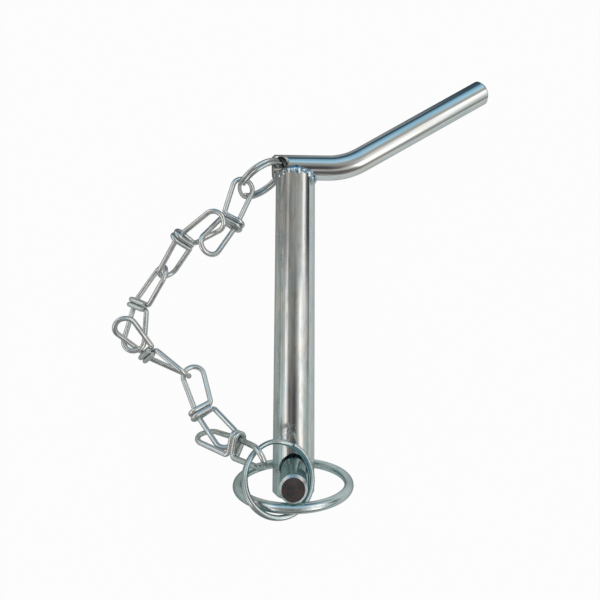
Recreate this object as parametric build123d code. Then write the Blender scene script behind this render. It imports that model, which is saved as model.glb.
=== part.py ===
from build123d import *

import math
import os

# Hitch pin with its linch pin, tied together by a knotted-link chain.
# Millimetres. The origin is where the axis of the shank meets the axis of the
# cross hole. +Y runs up the shank to the handle, +Z runs along the linch pin to
# its tip, and the pin lies down, with the linch pin upright.

os.makedirs("parts", exist_ok=True)

# ---- Driving dimensions ----

# Shank: a plain round bar with a chamfered free end and a cross hole
shank_diameter = 19.0
shank_free_end = 13.5
shank_end_chamfer = 1.6
cross_hole_diameter = 12.5
cross_hole_chamfer = 0.5

# Handle: a thinner round bar, welded across the end of the shank and bent up
handle_diameter = 12.0
handle_height = 139.0
handle_overhang = 11.4
handle_bend_at = 24.5
handle_bend_angle = 30.5
handle_bend_radius = 32.0
handle_leg_length = 80.0
handle_end_chamfer = 1.2
handle_hole_diameter = 6.0
handle_hole_sink = 1.2
handle_hole_inset = 4.2
handle_hole_lean = 10.0
saddle_depth = 1.0

# Weld: a row of beads all the way round the joint, heavier in front
weld_bead_radius = 2.15
weld_bead_count = 19
weld_unevenness = 0.13
weld_swell = 0.8
weld_spread = 8.4
weld_depth = 6.9
weld_drop = 6.2
weld_rise = 1.9

# Linch pin: a barrel with a flat forged head that carries the ring
linch_diameter = 11.0
linch_tip_height = 35.5
linch_tip_chamfer = 1.0
head_width = 15.0
head_depth = 11.0
head_thickness = 11.0
head_reach = 9.5
head_corner_radius = 3.5
head_edge_fillet = 0.9
head_seat_gap = 0.3
ring_hinge_drop = 4.2
ring_hinge_below_seat = 5.0
ring_hinge_clearance = 0.1

# Linch ring: one spring wire whose two ends meet inside the head
linch_ring_wire = 4.0
linch_ring_radius = 24.2
linch_ring_shoulder_radius = 10.0
linch_ring_end_gap = 1.5
linch_ring_side_clearance = 0.5
linch_ring_tip_clearance = 0.3

# Split rings: two turns of wire side by side, joined by one crossing
upper_ring_wire = 1.8
upper_ring_radius = 12.0
upper_ring_swing = 35.0
upper_ring_play = 0.75
lower_ring_wire = 2.0
lower_ring_radius = 14.0
split_ring_turn_gap = 0.06
split_ring_jog = 56.0
split_ring_end_inset = 6.0

# Chain: six links, each one wire with a loop at both ends and a wrapped knot between
chain_wire = 2.3
loop_inside_reach = 20.15
loop_half_width = 4.8
knot_half_width = 3.8
knot_gap = 0.05
wrap_spacing = 2.5
wrap_tail = 3.0
shoulder_radius = 1.9
neck_radius = 6.0

# How the chain lies: two arms, of links 1 to 3 and of links 4 to 6, meet at an elbow.
# Places are in inside reaches of a loop, from the hook on the arm's own split ring.
upper_hook_turn = 23.0
lower_hook_turn = 36.0
upper_arm = (-2.597, -3.609, -0.295)
lower_arm = (-3.113, 2.110, -1.252)
# For each link the middle of its knot, then the bearing, climb and roll of its loop
# nearer the handle, and of its loop nearer the linch pin
upper_links = [
    ((-0.240, -0.815, 0.023), (71, -7, 20), (-119, 29, 149)),
    ((-1.208, -1.326, 0.082), (30, 20, -171), (-128, -24, -74)),
    ((-2.319, -2.770, -0.429), (58, 8, 131), (-97, 6, -7)),
]
lower_links = [
    ((-2.602, 1.877, -1.436), (128, 31, -177), (-32, -3, 81)),
    ((-1.282, 0.587, -1.292), (114, -17, -159), (-44, 25, -19)),
    ((-0.513, -0.068, -0.557), (171, -38, 72), (-3, 50, -152)),
]
# How the lower split ring lies over the linch pin's tip
lower_ring_place = (-5.8, 1.5, 26.6)
lower_ring_bearing = 45.0
lower_ring_lean = 29.0
lower_ring_spin = 50.0

# Neighbouring arcs of a wire stop just short of each other
turn_share = 0.98


def export(node, solid):
    """Write one sub-part to its own STEP file."""
    export_step(solid, f"parts/{node}.step")
    print(node, round(solid.volume, 1), "mm3")


def wire(path, diameter):
    """Round wire along a path of straight runs and tangent arcs."""
    start = Plane(origin=path @ 0, z_dir=path % 0)
    return sweep(start * Circle(diameter / 2), path=path)


def across_shank(y):
    """A plane across the shank at height y, facing the handle."""
    return Plane(origin=(0, y, 0), x_dir=(1, 0, 0), z_dir=(0, 1, 0))


# ---- Handle ----

handle_radius = handle_diameter / 2
bend = math.radians(handle_bend_angle)
handle_start = (-handle_overhang, handle_height, 0)
handle_corner = (handle_bend_at, handle_height, 0)
handle_end = (
    handle_bend_at + handle_leg_length * math.cos(bend),
    handle_height + handle_leg_length * math.sin(bend),
    0,
)
handle_axis = FilletPolyline(handle_start, handle_corner, handle_end, radius=handle_bend_radius)

# The ring hole goes through the overhang, leaning a little back
hole_point = Vector(-handle_overhang + handle_hole_inset, handle_height, 0)
lean = math.radians(handle_hole_lean)
hole_axis = Vector(0, math.sin(lean), math.cos(lean))


def make_handle():
    bar = wire(handle_axis, handle_diameter)
    end_faces = [bar.faces().sort_by(Axis.X)[0], bar.faces().sort_by(Axis.X)[-1]]
    bar = chamfer([edge for face in end_faces for edge in face.edges()], handle_end_chamfer)
    hole_radius = handle_hole_diameter / 2
    drill = Cylinder(hole_radius, 2 * handle_diameter)
    # Each mouth is countersunk from the crest of the bar
    sink = Cone(hole_radius, hole_radius + 2 * handle_hole_sink, 2 * handle_hole_sink)
    drill = drill + Pos(0, 0, handle_radius) * sink
    drill = drill + Pos(0, 0, -handle_radius) * Rot(180, 0, 0) * sink
    return bar - Plane(origin=hole_point, z_dir=hole_axis) * drill


# ---- Shank ----

shank_radius = shank_diameter / 2
shank_top = handle_height - handle_radius + saddle_depth


def make_shank():
    bar = extrude(across_shank(-shank_free_end) * Circle(shank_radius), shank_top + shank_free_end)
    free_end = bar.faces().sort_by(Axis.Y)[0]
    bar = chamfer(free_end.edges(), shank_end_chamfer)
    # The top is ground out to seat the handle
    handle_bed = Pos(0, handle_height, 0) * Rot(0, 90, 0) * Cylinder(handle_radius, 4 * shank_radius)
    bar = bar - handle_bed
    drill = Cylinder(cross_hole_diameter / 2, 2 * shank_diameter)
    mouth = Cone(
        cross_hole_diameter / 2,
        cross_hole_diameter / 2 + 2 * cross_hole_chamfer,
        2 * cross_hole_chamfer,
    )
    # The mouths are broken where the drill meets the crest of the bar
    bar = bar - drill - Pos(0, 0, shank_radius) * mouth
    return bar - Pos(0, 0, -shank_radius) * Rot(180, 0, 0) * mouth


# ---- Weld ----


def make_weld():
    """Lumps of weld round the joint, cut away where the two bars are."""
    lumps = []
    for index in range(weld_bead_count):
        turn = 2 * math.pi * (index + 0.5) / weld_bead_count
        # The sizes rise and fall out of step with the beads, so that no two are alike
        size = weld_bead_radius * (1 + weld_unevenness * math.sin(3.7 * index))
        size += weld_swell * max(0, math.sin(turn)) ** 2
        place = Pos(
            weld_spread * math.cos(turn),
            handle_height - weld_drop + weld_rise * math.sin(turn) ** 2,
            weld_depth * math.sin(turn),
        )
        lumps.append(place * Rot(90, 0, 0) * Sphere(size))
    row = lumps[0].fuse(*lumps[1:])
    top = extrude(across_shank(shank_top) * Circle(shank_radius), -shank_diameter)
    cross_bar = Pos(0, handle_height, 0) * Rot(0, 90, 0) * Cylinder(handle_radius, 4 * shank_radius)
    return row - top - cross_bar


# ---- Linch pin ----

linch_radius = linch_diameter / 2
head_top = -shank_radius - head_seat_gap
hinge_y = -ring_hinge_drop
hinge_z = head_top - ring_hinge_below_seat + head_seat_gap
ring_wire_radius = linch_ring_wire / 2


def make_linch_pin():
    length = linch_tip_height - head_top + head_edge_fillet
    barrel = Pos(0, 0, linch_tip_height - length / 2) * Cylinder(linch_radius, length)
    barrel = chamfer(barrel.faces().sort_by(Axis.Z)[-1].edges(), linch_tip_chamfer)
    head_middle = (-head_thickness / 2, head_width / 2 - head_reach, head_top - head_depth / 2)
    side = Plane(origin=head_middle, x_dir=(0, 1, 0), z_dir=(1, 0, 0))
    head = extrude(side * RectangleRounded(head_width, head_depth, head_corner_radius), head_thickness)
    flats = [head.faces().sort_by(Axis.X)[0], head.faces().sort_by(Axis.X)[-1]]
    head = fillet([edge for face in flats for edge in face.edges()], head_edge_fillet)
    hinge = Pos(0, hinge_y, hinge_z) * Rot(0, 90, 0) * Cylinder(
        ring_wire_radius + ring_hinge_clearance, 2 * head_thickness
    )
    return barrel + head - hinge


# ---- Linch ring ----

# The ring leans against the underside of the tip, just beyond the barrel
ring_straight = head_thickness / 2 + linch_ring_side_clearance
ring_centre_reach = linch_ring_shoulder_radius + math.sqrt(
    (linch_ring_radius - linch_ring_shoulder_radius) ** 2 - ring_straight**2
)
ring_reach = ring_centre_reach + linch_ring_radius
strand_y = -(linch_radius + ring_wire_radius + linch_ring_tip_clearance)
ring_lean = math.asin((hinge_y - strand_y) / ring_reach)


def make_linch_ring():
    """Two short ends in the head, two shoulder arcs and one big arc."""
    shoulder = (ring_straight, linch_ring_shoulder_radius)
    slope = math.atan2(ring_centre_reach - linch_ring_shoulder_radius, -ring_straight)
    outward = (math.cos(slope), math.sin(slope))
    meet = (
        shoulder[0] - linch_ring_shoulder_radius * outward[0],
        shoulder[1] - linch_ring_shoulder_radius * outward[1],
    )
    far = (0, ring_reach)
    half_gap = linch_ring_end_gap / 2
    right = [
        Line((half_gap, 0), (ring_straight, 0)),
        TangentArc((ring_straight, 0), meet, tangent=(1, 0)),
    ]
    big = ThreePointArc(meet, far, (-meet[0], meet[1]))
    left = [
        TangentArc((-ring_straight, 0), (-meet[0], meet[1]), tangent=(-1, 0)),
        Line((-half_gap, 0), (-ring_straight, 0)),
    ]
    outline = Wire([edge for curve in [*right, big, *left] for edge in curve.edges()])
    section = Plane(origin=(half_gap, 0, 0), z_dir=(1, 0, 0)) * Circle(ring_wire_radius)
    ring = sweep(section, path=outline)
    stand = Plane(
        origin=(0, hinge_y, hinge_z),
        x_dir=(1, 0, 0),
        z_dir=(0, -math.cos(ring_lean), -math.sin(ring_lean)),
    )
    return stand * ring


# ---- Split rings ----


def split_ring(radius, diameter):
    """Two turns side by side about Z; the wire crosses from one to the other at X+."""
    rise = (diameter + split_ring_turn_gap) / 2
    half_jog = split_ring_jog / 2
    first = half_jog + split_ring_end_inset

    def at(angle, height):
        turn = math.radians(angle)
        return Vector(radius * math.cos(turn), radius * math.sin(turn), height)

    def onward(angle):
        turn = math.radians(angle)
        return Vector(-math.sin(turn), math.cos(turn), 0)

    below = ThreePointArc(at(first, -rise), at(180, -rise), at(360 - half_jog, -rise))
    above = ThreePointArc(at(half_jog, rise), at(180, rise), at(360 - first, rise))
    # The crossing is two equal tangent arcs that meet half way
    start, end = at(-half_jog, -rise), at(half_jog, rise)
    along_start, along_end = onward(-half_jog), onward(half_jog)
    gap = end - start
    a = 2 * (1 - along_start.dot(along_end))
    b = 2 * gap.dot(along_start + along_end)
    reach = (math.sqrt(b * b + 4 * a * gap.dot(gap)) - b) / (2 * a)
    middle = ((start + along_start * reach) + (end - along_end * reach)) / 2
    crossing = [
        TangentArc(start, middle, tangent=along_start),
        TangentArc(end, middle, tangent=-along_end),
    ]
    path = Wire([edge for curve in [below, *crossing, above] for edge in curve.edges()])
    return wire(path, diameter)


# ---- Chain ----


def heading(bearing, climb, roll):
    """Turns a loop from X+ to a bearing, a climb and a roll about itself."""
    return Rot(0, 0, bearing) * Rot(0, -climb, 0) * Rot(roll, 0, 0)


def spot(frame, x, y, z):
    """A point given in a frame of its own."""
    return (frame * Pos(x, y, z)).position


def knot_frame(upper, lower):
    """The frame half way between a link's two loops, with X towards the handle."""
    knot = spot(upper, 0, 0, 0)
    along = spot(upper, 1, 0, 0) - spot(lower, 1, 0, 0)
    across = spot(upper, 0, 1, 0) + spot(lower, 0, 1, 0) - 2 * knot
    return Plane(origin=knot, x_dir=along, z_dir=along.cross(across)).location


def make_link(arm, knot, towards_handle, towards_tip):
    """One wire: two loops that share a leg, whose ends are wrapped round that leg."""
    centre = arm * Pos(*(Vector(*knot) * loop_inside_reach))
    upper = centre * heading(*towards_handle)
    lower = centre * heading(*towards_tip)
    middle = knot_frame(upper, lower)
    # The legs spread from the knot until they are tangent to the tip's arc
    loop_reach = loop_inside_reach + chain_wire / 2
    tip_centre = loop_reach - loop_half_width
    spread = math.asin(loop_half_width / math.hypot(tip_centre, knot_half_width))
    spread -= math.atan2(knot_half_width, tip_centre)
    corner = knot_half_width + loop_reach * math.tan(spread)
    # A wrap crosses both legs, rising over the shared one, and turns back under it
    turn = chain_wire + knot_gap
    climb = math.asin(turn / (2 * knot_half_width))
    outside = -knot_half_width - turn
    over = (knot_half_width - outside) * math.tan(climb)
    half_neck = wrap_spacing / 2 + chain_wire / 2
    half_spacing = wrap_spacing / 2

    def wrap(x):
        return [
            spot(middle, x, wrap_tail, -turn),
            spot(middle, x, outside, -turn),
            spot(middle, x, outside, over),
            spot(middle, x, knot_half_width, 0),
        ]

    route = [
        *wrap(half_spacing),
        spot(upper, loop_reach, corner, 0),
        spot(upper, loop_reach, -corner, 0),
        spot(middle, half_neck, -knot_half_width, 0),
        spot(middle, -half_neck, -knot_half_width, 0),
        spot(lower, loop_reach, -corner, 0),
        spot(lower, loop_reach, corner, 0),
        *reversed(wrap(-half_spacing)),
    ]
    turns = [turn_share * turn, turn_share * turn, shoulder_radius]
    tips = [turn_share * loop_half_width] * 2
    radii = [*turns, *tips, neck_radius, neck_radius, *tips, *reversed(turns)]
    return wire(FilletPolyline(*route, radius=radii), chain_wire)


def arm_frames(upper_hook, lower_hook):
    """Where the two arms lie when their elbow closes between two given hooks."""
    upper = Vector(*upper_arm) * loop_inside_reach
    lower = Vector(*lower_arm) * loop_inside_reach
    span = lower_hook - upper_hook
    across = span.normalized()
    along = (span.length**2 + upper.length**2 - lower.length**2) / (2 * span.length)
    aside = (upper - across * upper.dot(across)).normalized()
    elbow = upper_hook + across * along + aside * math.sqrt(upper.length**2 - along**2)
    frames = []
    for hook, arm in ((upper_hook, upper), (lower_hook, lower)):
        lie = Plane(origin=(0, 0, 0), x_dir=arm, z_dir=upper.cross(lower))
        turned = Plane(
            origin=hook,
            x_dir=elbow - hook,
            z_dir=(elbow - upper_hook).cross(elbow - lower_hook),
        )
        frames.append(turned.location * lie.location.inverse())
    return frames


# ---- Sub-parts ----

export("shank", make_shank())
export("handle", make_handle())
export("weld_bead", make_weld())
export("linch_pin", make_linch_pin())
export("linch_ring", make_linch_ring())

# The upper split ring hangs from the handle's hole, swung towards the chain
swing = math.radians(upper_ring_swing)
across_hole = hole_axis.cross(Vector(1, 0, 0))
hang = -(Vector(1, 0, 0) * math.cos(swing) + across_hole * math.sin(swing))
upper_ring_normal = hang.cross(hole_axis)
upper_ring_lie = Plane(
    origin=hole_point + hang * (upper_ring_radius - upper_ring_play),
    x_dir=-hang.rotate(Axis((0, 0, 0), upper_ring_normal), 180),
    z_dir=upper_ring_normal,
).location
export("upper_split_ring", upper_ring_lie * split_ring(upper_ring_radius, upper_ring_wire))

# The lower split ring lies round the tip, leaning towards a bearing
lower_ring_lie = (
    Pos(*lower_ring_place)
    * Rot(0, 0, lower_ring_bearing)
    * Rot(0, lower_ring_lean, 0)
    * Rot(0, 0, lower_ring_spin)
)
export("lower_split_ring", lower_ring_lie * split_ring(lower_ring_radius, lower_ring_wire))

# The chain hooks on to both rings and folds at its elbow to reach
upper_hook = spot(upper_ring_lie * Rot(0, 0, upper_hook_turn), upper_ring_radius, 0, 0)
lower_hook = spot(lower_ring_lie * Rot(0, 0, lower_hook_turn), lower_ring_radius, 0, 0)
upper_frame, lower_frame = arm_frames(upper_hook, lower_hook)
links = [(upper_frame, *link) for link in upper_links]
links += [(lower_frame, *link) for link in lower_links]
for number, link in enumerate(links, start=1):
    export(f"chain_link_{number}", make_link(*link))
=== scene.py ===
import math

import bpy
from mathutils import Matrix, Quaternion, Vector


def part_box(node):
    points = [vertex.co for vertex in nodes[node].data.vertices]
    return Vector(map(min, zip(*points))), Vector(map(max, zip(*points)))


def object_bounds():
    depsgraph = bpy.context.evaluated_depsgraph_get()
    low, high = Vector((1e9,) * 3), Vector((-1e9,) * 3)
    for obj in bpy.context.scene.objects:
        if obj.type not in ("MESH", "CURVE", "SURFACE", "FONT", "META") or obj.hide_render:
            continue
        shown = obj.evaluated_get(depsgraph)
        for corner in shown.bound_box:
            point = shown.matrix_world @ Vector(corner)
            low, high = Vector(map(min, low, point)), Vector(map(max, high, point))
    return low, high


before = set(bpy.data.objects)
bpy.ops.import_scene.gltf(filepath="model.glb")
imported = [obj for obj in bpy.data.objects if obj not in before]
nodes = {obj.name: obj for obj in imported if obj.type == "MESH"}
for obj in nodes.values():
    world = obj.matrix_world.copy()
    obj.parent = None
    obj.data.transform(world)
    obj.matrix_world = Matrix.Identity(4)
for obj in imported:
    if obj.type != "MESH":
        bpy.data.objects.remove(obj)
cad_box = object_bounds()
scene = bpy.context.scene
scene.view_settings.view_transform = "Standard"


# ---- Node helpers ----


class Graph:
    """A short way to write shader nodes: each call adds one and returns its output."""

    def __init__(self, tree):
        self.tree = tree
        tree.nodes.clear()

    def add(self, kind, **settings):
        node = self.tree.nodes.new(kind)
        for key, value in settings.items():
            setattr(node, key, value)
        return node

    def feed(self, socket, value):
        if isinstance(value, bpy.types.NodeSocket):
            self.tree.links.new(value, socket)
        elif value is not None:
            socket.default_value = value

    def math(self, operation, first, second=None, clamp=False):
        node = self.add("ShaderNodeMath", operation=operation, use_clamp=clamp)
        self.feed(node.inputs[0], first)
        self.feed(node.inputs[1], second)
        return node.outputs[0]

    def blend(self, factor, first, second, how="MIX"):
        """Mixes two colours."""
        node = self.add("ShaderNodeMix", data_type="RGBA", blend_type=how)
        self.feed(node.inputs["Factor"], factor)
        self.feed(node.inputs[6], first)
        self.feed(node.inputs[7], second)
        return node.outputs[2]

    def remap(self, value, low, high, to_low=0.0, to_high=1.0, smooth=True):
        node = self.add("ShaderNodeMapRange")
        node.interpolation_type = "SMOOTHSTEP" if smooth else "LINEAR"
        self.feed(node.inputs[0], value)
        for index, number in enumerate((low, high, to_low, to_high), start=1):
            node.inputs[index].default_value = number
        return node.outputs[0]

    def ramp(self, value, stops):
        """A colour ramp: stops are (position, colour), where a colour may be one grey."""
        node = self.add("ShaderNodeValToRGB")
        node.color_ramp.interpolation = "EASE"
        elements = node.color_ramp.elements
        while len(elements) < len(stops):
            elements.new(0.5)
        for element, (position, colour) in zip(elements, stops):
            element.position = position
            if not isinstance(colour, tuple):
                colour = (colour, colour, colour)
            element.color = (*colour, 1.0)
        self.feed(node.inputs[0], value)
        return node.outputs[0]

    def noise(self, vector, scale, detail=3.0, roughness=0.5):
        node = self.add("ShaderNodeTexNoise")
        self.feed(node.inputs["Vector"], vector)
        node.inputs["Scale"].default_value = scale
        node.inputs["Detail"].default_value = detail
        node.inputs["Roughness"].default_value = roughness
        return node.outputs[0]

    def combine(self, x, y, z):
        node = self.add("ShaderNodeCombineXYZ")
        for socket, value in zip(node.inputs, (x, y, z)):
            self.feed(socket, value)
        return node.outputs[0]

    def bump(self, height, distance, strength=1.0, normal=None):
        node = self.add("ShaderNodeBump")
        node.inputs["Strength"].default_value = strength
        node.inputs["Distance"].default_value = distance
        self.feed(node.inputs["Height"], height)
        if normal is not None:
            self.feed(node.inputs["Normal"], normal)
        return node.outputs[0]


def smooth_between(graph, value, edge, softness):
    """0 below an edge and 1 above it, over a soft step."""
    return graph.remap(value, edge - softness, edge + softness)


# ---- Camera ----

# Fitted to the photograph: place in metres, turn as an axis times radians
camera_place = Vector((0.00015, 0.0603, 0.2153))
camera_turn = Vector((0.104, -0.030, 0.005))
sensor_width = 36.0
focal_length = 27.33
lens_shift = (-0.0143, -0.0293)
nearest_seen = 0.01

camera = bpy.data.objects.new("camera", bpy.data.cameras.new("camera"))
scene.collection.objects.link(camera)
camera.location = camera_place
camera.rotation_mode = "QUATERNION"
camera.rotation_quaternion = Quaternion(camera_turn.normalized(), camera_turn.length)
camera.data.sensor_width = sensor_width
camera.data.lens = focal_length
camera.data.shift_x, camera.data.shift_y = lens_shift
camera.data.clip_start = nearest_seen
scene.camera = camera


# ---- Studio ----

floor_height = cad_box[0][2]
floor_reach = 3.0
# Share of plain white in what the camera sees of the floor; the rest keeps the shadow
floor_white = 0.96

# The handle's bend: the corner of its two axes, and the angle between them
handle_corner = (0.0245, 0.139)
handle_bend = math.radians(30.5)


def handle_offsets(graph, x, y):
    """How far a point lies from the axis of the handle's straight part, and of its leg."""
    up = graph.math("SUBTRACT", y, handle_corner[1])
    right = graph.math("SUBTRACT", x, handle_corner[0])
    leg = graph.math(
        "SUBTRACT",
        graph.math("MULTIPLY", up, math.cos(handle_bend)),
        graph.math("MULTIPLY", right, math.sin(handle_bend)),
    )
    return up, leg


def make_floor():
    """A pale sheet under the part, white to the camera but for a soft shadow; to glossy rays it
    glows with a painted reflection.
    """
    mesh = bpy.data.meshes.new("floor")
    reach = floor_reach
    corners = [(-reach, -reach), (reach, -reach), (reach, reach), (-reach, reach)]
    mesh.from_pydata([(x, y, floor_height) for x, y in corners], [], [(0, 1, 2, 3)])
    floor = bpy.data.objects.new("floor", mesh)
    scene.collection.objects.link(floor)
    material = bpy.data.materials.new("floor")
    material.use_nodes = True
    graph = Graph(material.node_tree)
    paper = graph.add("ShaderNodeBsdfDiffuse")
    paper.inputs["Color"].default_value = (0.86, 0.87, 0.88, 1.0)
    white = graph.add("ShaderNodeEmission")
    white.inputs["Color"].default_value = (1.0, 1.0, 1.0, 1.0)
    # Painted reflection: to glossy rays the floor glows as a sheet that is dimmer on the chain's
    # side, which the metal mirrors
    place = graph.add("ShaderNodeTexCoord").outputs["Object"]
    split = graph.add("ShaderNodeSeparateXYZ")
    graph.feed(split.inputs[0], place)
    side = graph.remap(split.outputs[0], -0.02, 0.02)
    painted_reflection = graph.add("ShaderNodeEmission")
    dim = graph.ramp(graph.remap(split.outputs[1], -0.02, 0.16, smooth=False), [
        (0.00, (0.30, 0.38, 0.38)), (0.35, (0.42, 0.46, 0.45)), (0.55, (0.46, 0.50, 0.48)),
        (0.80, (0.33, 0.34, 0.33)),
    ])
    sheet = graph.blend(side, dim, (0.54, 0.59, 0.60, 1.0))
    # Painted reflection: beyond the handle the glow turns dark, standing in for the dark edge of
    # a table that the metal mirrors
    across, past_corner = handle_offsets(graph, split.outputs[0], split.outputs[1])
    beyond = graph.math(
        "MULTIPLY", graph.remap(across, 0.004, 0.012), graph.remap(past_corner, 0.004, 0.012)
    )
    depth = graph.remap(split.outputs[0], 0.02, 0.09, 0.45, 0.96)
    sheet = graph.blend(graph.math("MULTIPLY", beyond, depth), sheet, (0.03, 0.06, 0.09, 1.0))
    graph.feed(painted_reflection.inputs["Color"], sheet)
    path = graph.add("ShaderNodeLightPath")
    seen = graph.math("ADD", path.outputs["Is Camera Ray"], path.outputs["Is Transmission Ray"])
    lit = graph.add("ShaderNodeMixShader")
    graph.feed(lit.inputs[0], graph.math("MULTIPLY", seen, floor_white, clamp=True))
    graph.feed(lit.inputs[1], paper.outputs[0])
    graph.feed(lit.inputs[2], white.outputs[0])
    mixed = graph.add("ShaderNodeMixShader")
    graph.feed(mixed.inputs[0], path.outputs["Is Glossy Ray"])
    graph.feed(mixed.inputs[1], lit.outputs[0])
    graph.feed(mixed.inputs[2], painted_reflection.outputs[0])
    out = graph.add("ShaderNodeOutputMaterial")
    graph.feed(out.inputs[0], mixed.outputs[0])
    mesh.materials.append(material)


def make_room():
    """A painted studio that the metal mirrors; the camera itself sees plain white."""
    world = bpy.data.worlds.new("studio")
    scene.world = world
    world.use_nodes = True
    graph = Graph(world.node_tree)
    direction = graph.add("ShaderNodeTexCoord").outputs["Generated"]
    split = graph.add("ShaderNodeSeparateXYZ")
    graph.feed(split.inputs[0], direction)
    x, y, z = split.outputs
    # Angle round the shank's line, 0 to 1 from below, by X-, overhead and X+, to below
    turn = graph.math("ARCTAN2", x, z)
    around = graph.remap(turn, -math.pi, math.pi, smooth=False)
    # Three rings of the room: by the free end, by the handle, and between them
    near_side = graph.ramp(around, [
        (0.00, 0.50), (0.20, (0.42, 0.52, 0.52)), (0.24, (0.30, 0.41, 0.41)),
        (0.27, (0.41, 0.55, 0.55)), (0.31, (0.44, 0.54, 0.55)), (0.335, 0.80), (0.37, 1.02),
        (0.385, 0.82), (0.40, (0.38, 0.35, 0.35)), (0.43, (0.14, 0.12, 0.12)),
        (0.455, (0.20, 0.18, 0.18)), (0.48, 0.11), (0.505, (0.06, 0.06, 0.07)), (0.53, 0.14),
        (0.56, 0.45), (0.595, 1.15), (0.625, 1.15), (0.645, 0.80), (0.67, (0.50, 0.56, 0.54)),
        (0.73, (0.34, 0.40, 0.40)), (0.75, (0.27, 0.34, 0.33)), (0.79, (0.50, 0.60, 0.60)),
        (1.00, 0.55),
    ])
    far_side = graph.ramp(around, [
        (0.00, 0.40), (0.21, 0.34), (0.26, 0.46), (0.32, 0.31), (0.345, 0.35), (0.375, 0.62),
        (0.405, 0.28), (0.425, 0.22), (0.46, (0.30, 0.31, 0.29)), (0.52, 0.36),
        (0.585, (0.41, 0.42, 0.40)), (0.61, 0.56), (0.64, 1.15), (0.655, 1.02), (0.69, 0.17),
        (0.715, (0.05, 0.06, 0.07)), (0.74, (0.04, 0.05, 0.05)), (0.76, (0.13, 0.16, 0.16)),
        (0.785, (0.40, 0.45, 0.45)), (0.82, (0.54, 0.59, 0.60)),
    ])
    middle = graph.ramp(around, [
        (0.00, 0.55), (0.20, (0.47, 0.52, 0.49)), (0.24, (0.39, 0.44, 0.42)),
        (0.29, (0.52, 0.56, 0.53)), (0.32, 0.45), (0.345, 0.72), (0.365, 1.22), (0.38, 1.02),
        (0.40, 0.52), (0.425, 0.30), (0.46, (0.23, 0.24, 0.22)), (0.505, (0.19, 0.20, 0.18)),
        (0.535, 0.38), (0.56, 0.66), (0.585, 1.15), (0.60, 1.25), (0.63, 0.92), (0.665, 0.76),
        (0.70, 0.52), (0.735, (0.18, 0.19, 0.19)), (0.76, (0.30, 0.32, 0.31)),
        (0.79, (0.62, 0.65, 0.64)),
    ])
    room = graph.blend(graph.remap(y, -0.17, -0.02), near_side, middle)
    room = graph.blend(graph.remap(y, 0.05, 0.22), room, far_side)
    # The window beyond the handle: blue sky, darker towards the horizon
    window = graph.ramp(graph.remap(y, 0.4, 1.0, smooth=False), [
        (0.00, (0.46, 0.62, 0.72)), (0.45, (0.38, 0.64, 0.82)), (0.80, (0.22, 0.42, 0.58)),
        (0.92, (0.05, 0.09, 0.13)),
    ])
    # It spans what is square to the handle's two parts; beside it is a pale wall
    left = graph.math("ADD", x, graph.math("MULTIPLY", y, 0.85))
    right = graph.math("SUBTRACT", graph.math("MULTIPLY", y, 0.60), x)
    span = graph.math("MULTIPLY", graph.remap(left, 0.0, 0.12), graph.remap(right, 0.0, 0.10))
    wall = graph.ramp(graph.remap(y, 0.4, 1.0, smooth=False), [
        (0.00, (0.62, 0.66, 0.65)), (0.45, (0.66, 0.70, 0.69)), (0.80, (0.42, 0.46, 0.46)),
        (0.92, (0.16, 0.18, 0.19)),
    ])
    window = graph.blend(span, wall, window)
    room = graph.blend(smooth_between(graph, y, 0.47, 0.09), room, window)
    # The room behind the free end
    behind = graph.ramp(graph.remap(y, -1.0, -0.4, smooth=False), [
        (0.00, 0.50), (0.10, 0.10), (0.35, 0.14), (0.70, 0.55),
    ])
    room = graph.blend(smooth_between(graph, y, -0.55, 0.10), behind, room)
    # A dim skirting, low behind the free end
    skirting = graph.math("MULTIPLY", graph.remap(y, -0.34, -0.42), graph.remap(z, 0.30, 0.20))
    room = graph.blend(graph.math("MULTIPLY", skirting, 0.85), room, (0.24, 0.22, 0.21, 1.0))
    # Four soft boxes in the corners, which the round bars don't mirror but the wires do
    wide, long = graph.math("ABSOLUTE", x), graph.math("ABSOLUTE", y)
    box = graph.math("MULTIPLY", graph.remap(long, 0.33, 0.45), graph.remap(wide, 0.36, 0.50))
    beside = graph.remap(graph.math("SUBTRACT", wide, long), -0.12, 0.02)
    box = graph.math("MULTIPLY", box, beside)
    box = graph.math("MULTIPLY", box, graph.remap(z, 0.40, 0.54))
    room = graph.blend(box, room, (1.75, 1.75, 1.72, 1.0))
    light = graph.add("ShaderNodeBackground")
    graph.feed(light.inputs["Color"], room)
    light.inputs["Strength"].default_value = 1.0
    plain = graph.add("ShaderNodeBackground")
    plain.inputs["Color"].default_value = (1.0, 1.0, 1.0, 1.0)
    plain.inputs["Strength"].default_value = 1.0
    path = graph.add("ShaderNodeLightPath")
    mixed = graph.add("ShaderNodeMixShader")
    graph.feed(mixed.inputs[0], path.outputs["Is Camera Ray"])
    graph.feed(mixed.inputs[1], light.outputs[0])
    graph.feed(mixed.inputs[2], plain.outputs[0])
    out = graph.add("ShaderNodeOutputWorld")
    graph.feed(out.inputs[0], mixed.outputs[0])


# ---- Zinc plate ----

# Where the handle's ring hole is, and how deep the chamfers at the ends are
hole_place = (-0.0072, handle_corner[1])
hole_radius = 0.003
hole_lean = math.radians(10.0)
edge_drop = 0.00105
# How far below the linch pin's tip its end face still counts as the end
face_slack = 0.00005


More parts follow.
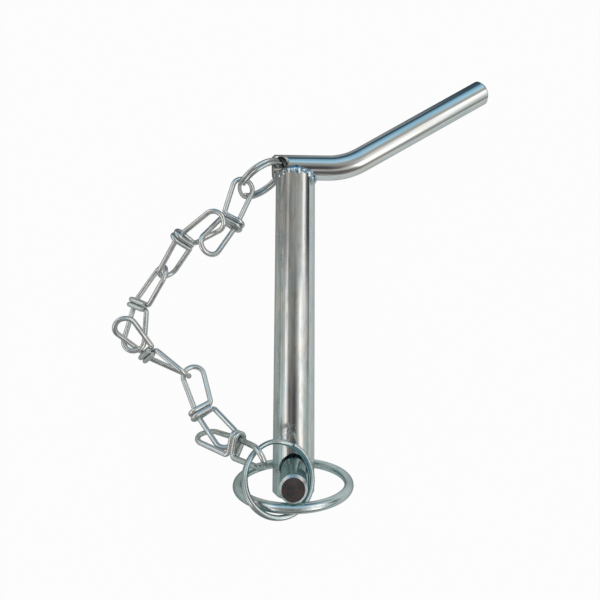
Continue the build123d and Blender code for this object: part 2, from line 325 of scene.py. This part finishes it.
def plate(name, tint, roughness, streak, wave, along="Y", stain=None, edge=0.7):
    """Bright zinc: drawn streaks along the bar, cloudy blue and brown tints, fine wear."""
    material = bpy.data.materials.new(name)
    material.use_nodes = True
    graph = Graph(material.node_tree)
    place = graph.add("ShaderNodeTexCoord").outputs["Object"]
    split = graph.add("ShaderNodeSeparateXYZ")
    graph.feed(split.inputs[0], place)
    x, y, z = split.outputs
    if along == "Y":
        flow = graph.combine(x, graph.math("MULTIPLY", y, 0.03), z)
    elif along == "handle":
        flow = handle_flow(graph, x, y, z)
    elif along == "Z":
        flow = graph.combine(x, y, graph.math("MULTIPLY", z, 0.05))
    else:
        flow = place
    fine = graph.noise(flow, 1400.0, detail=4.0, roughness=0.6)
    broad = graph.noise(flow, 320.0, detail=2.0)
    cloud = graph.noise(place, 90.0, detail=3.0, roughness=0.55)
    colour = graph.ramp(cloud, [(0.30, tint[0]), (0.50, tint[1]), (0.68, tint[2])])
    worn = graph.remap(fine, 0.42, 0.75)
    wear = graph.math("MULTIPLY", worn, streak)
    colour = graph.blend(wear, colour, (0.45, 0.45, 0.44, 1.0), "MULTIPLY")
    rough = graph.remap(broad, 0.30, 0.70, roughness * 0.7, roughness * 1.4)
    rough = graph.math("ADD", rough, graph.math("MULTIPLY", worn, 0.10))
    normal = graph.bump(broad, wave, 0.6)
    normal = graph.bump(fine, wave * 0.12, 0.5, normal)
    if stain is not None:
        colour, rough = stain(graph, x, y, z, colour, rough)
    shader = graph.add("ShaderNodeBsdfPrincipled")
    graph.feed(shader.inputs["Base Color"], colour)
    graph.feed(shader.inputs["Roughness"], rough)
    graph.feed(shader.inputs["Normal"], normal)
    shader.inputs["Metallic"].default_value = 1.0
    shader.inputs["Specular Tint"].default_value = (edge, edge, edge, 1.0)
    out = graph.add("ShaderNodeOutputMaterial")
    graph.feed(out.inputs[0], shader.outputs[0])
    return material


def handle_flow(graph, x, y, z):
    """Coordinates that run along the handle, round its bend."""
    straight, leg = handle_offsets(graph, x, y)
    past = graph.remap(graph.math("SUBTRACT", x, handle_corner[0]), -0.008, 0.008)
    across = graph.math(
        "ADD",
        graph.math("MULTIPLY", leg, past),
        graph.math("MULTIPLY", straight, graph.math("SUBTRACT", 1.0, past)),
    )
    return graph.combine(graph.math("MULTIPLY", x, 0.03), across, z)


def within(graph, value, low, high):
    """1 where a value lies between two limits."""
    over = graph.math("GREATER_THAN", value, low)
    under = graph.math("LESS_THAN", value, high)
    return graph.math("MULTIPLY", over, under)


def sheared_tip(graph, x, y, z, colour, rough):
    """The sheared end of the linch pin is bare, dark steel inside a bright broken edge."""
    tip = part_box("linch_pin")[1][2]
    at_edge = within(graph, z, tip - edge_drop, tip)
    colour = graph.blend(at_edge, colour, (0.97, 0.96, 0.94, 1.0))
    rough = graph.math("ADD", rough, graph.math("MULTIPLY", at_edge, 0.15))
    at_end = graph.math("GREATER_THAN", z, tip - face_slack)
    blotch = graph.noise(graph.combine(x, y, z), 260.0, detail=3.0, roughness=0.6)
    torn = graph.ramp(blotch, [
        (0.34, (0.11, 0.11, 0.12)), (0.48, (0.14, 0.13, 0.13)), (0.56, (0.20, 0.13, 0.13)),
        (0.66, (0.15, 0.15, 0.16)),
    ])
    colour = graph.blend(at_end, colour, torn)
    rough = graph.math("ADD", rough, graph.math("MULTIPLY", at_end, 0.25))
    return colour, rough


def handle_shade_and_marks(graph, x, y, z, colour, rough):
    """Painted shade in the ring hole, and a dull sawn end beside it."""
    leaned = graph.math("SUBTRACT", y, graph.math("MULTIPLY", z, math.tan(hole_lean)))
    away_x = graph.math("SUBTRACT", x, hole_place[0])
    away_y = graph.math("SUBTRACT", leaned, hole_place[1])
    away = graph.math("SQRT", graph.math(
        "ADD", graph.math("MULTIPLY", away_x, away_x), graph.math("MULTIPLY", away_y, away_y)
    ))
    # Painted shade: the colour darkens inside the ring hole's rim
    hole_shade = graph.remap(away, hole_radius + 0.0004, hole_radius - 0.0003)
    colour = graph.blend(graph.math("MULTIPLY", hole_shade, 0.85), colour, (0.12, 0.12, 0.12, 1.0))
    sawn = graph.math("LESS_THAN", x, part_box("handle")[0][0] + edge_drop)
    colour = graph.blend(graph.math("MULTIPLY", sawn, 0.7), colour, (0.22, 0.23, 0.24, 1.0))
    rough = graph.math("ADD", rough, graph.math("MULTIPLY", hole_shade, 0.4))
    return colour, rough


def weld_marks(graph, x, y, z, colour, rough):
    """Navy flecks between blue and white, greyer towards the ring."""
    place = graph.combine(x, y, z)
    fleck = graph.noise(place, 620.0, detail=2.0, roughness=0.5)
    colour = graph.blend(0.75, colour, graph.ramp(fleck, [
        (0.36, (0.03, 0.08, 0.15)), (0.44, (0.25, 0.45, 0.62)), (0.52, (0.72, 0.88, 0.97)),
        (0.62, (0.97, 0.98, 0.99)), (0.72, (0.20, 0.38, 0.55)),
    ]))
    ring_side = graph.remap(x, -0.001, -0.006)
    colour = graph.blend(graph.math("MULTIPLY", ring_side, 0.8), colour, (0.52, 0.52, 0.49, 1.0))
    return colour, rough


def shank_marks(graph, x, y, z, colour, rough):
    """Long drawn scratches, uneven plating, and rubbed marks by the cross hole."""
    flow = graph.combine(x, graph.math("MULTIPLY", y, 0.012), z)
    drawn = graph.noise(flow, 900.0, detail=3.0, roughness=0.7)
    drawn = graph.ramp(drawn, [(0.36, 0.50), (0.46, 0.97), (0.54, 1.0), (0.62, 0.65)])
    side = graph.remap(x, 0.001, -0.004, 0.12, 0.75)
    colour = graph.blend(side, colour, drawn, "MULTIPLY")
    # Uneven plating, in patches longer than they are wide
    stretched = graph.combine(x, graph.math("MULTIPLY", y, 0.22), z)
    patch = graph.noise(stretched, 330.0, detail=4.0, roughness=0.65)
    colour = graph.blend(0.75, colour, graph.ramp(patch, [
        (0.36, (0.76, 0.78, 0.76)), (0.46, 0.97), (0.54, 1.0), (0.64, (0.84, 0.83, 0.79)),
    ]), "MULTIPLY")
    rough = graph.math("ADD", rough, graph.remap(patch, 0.50, 0.66, 0.0, 0.07))
    near_hole = graph.math(
        "MULTIPLY", within(graph, y, 0.009, 0.019), within(graph, x, -0.005, 0.001)
    )
    scuff = graph.remap(graph.noise(graph.combine(x, y, z), 800.0), 0.50, 0.60)
    scuff = graph.math("MULTIPLY", near_hole, graph.math("MULTIPLY", scuff, 0.6))
    colour = graph.blend(scuff, colour, (0.62, 0.74, 0.82, 1.0))
    rough = graph.math("ADD", rough, graph.math("MULTIPLY", scuff, 0.30))
    # Duller on the chain's side, where the chain rubs
    rough = graph.math("ADD", rough, graph.remap(x, -0.003, -0.007, 0.0, 0.13))
    return colour, rough


# Tints from the darkest patches of the plating to the lightest
bright = ((0.76, 0.81, 0.82), (0.85, 0.86, 0.84), (0.88, 0.85, 0.80))
wire_tint = ((0.72, 0.76, 0.76), (0.86, 0.86, 0.84), (0.92, 0.90, 0.86))
ring_tint = ((0.66, 0.71, 0.71), (0.76, 0.78, 0.76), (0.82, 0.79, 0.75))
teal_tint = ((0.62, 0.76, 0.76), (0.78, 0.85, 0.84), (0.86, 0.88, 0.86))
ring_teal = ((0.50, 0.62, 0.62), (0.64, 0.71, 0.70), (0.73, 0.75, 0.73))
dark_teal = ((0.24, 0.43, 0.45), (0.35, 0.55, 0.56), (0.48, 0.64, 0.63))
blue_tint = ((0.38, 0.62, 0.80), (0.62, 0.82, 0.93), (0.86, 0.92, 0.95))

materials = {
    "shank": plate("shank_zinc", bright, 0.065, 0.35, 0.00005, "Y", shank_marks),
    "handle": plate("handle_zinc", bright, 0.08, 0.4, 0.00006, "handle", handle_shade_and_marks),
    "weld_bead": plate("weld_zinc", blue_tint, 0.14, 0.6, 0.0006, None, weld_marks),
    "linch_pin": plate("linch_zinc", dark_teal, 0.16, 0.5, 0.00008, "Z", sheared_tip),
    "linch_ring": plate("linch_ring_zinc", teal_tint, 0.22, 0.2, 0.00003, None, edge=0.4),
    "upper_split_ring": plate("upper_ring_zinc", ring_tint, 0.22, 0.2, 0.00003, None, edge=0.3),
    "lower_split_ring": plate("lower_ring_zinc", ring_teal, 0.20, 0.2, 0.00003, None, edge=0.3),
}
link_material = plate("link_zinc", wire_tint, 0.25, 0.2, 0.00003, None, edge=0.3)
for node, piece in nodes.items():
    piece.data.materials.clear()
    piece.data.materials.append(materials.get(node, link_material))

make_floor()
make_room()
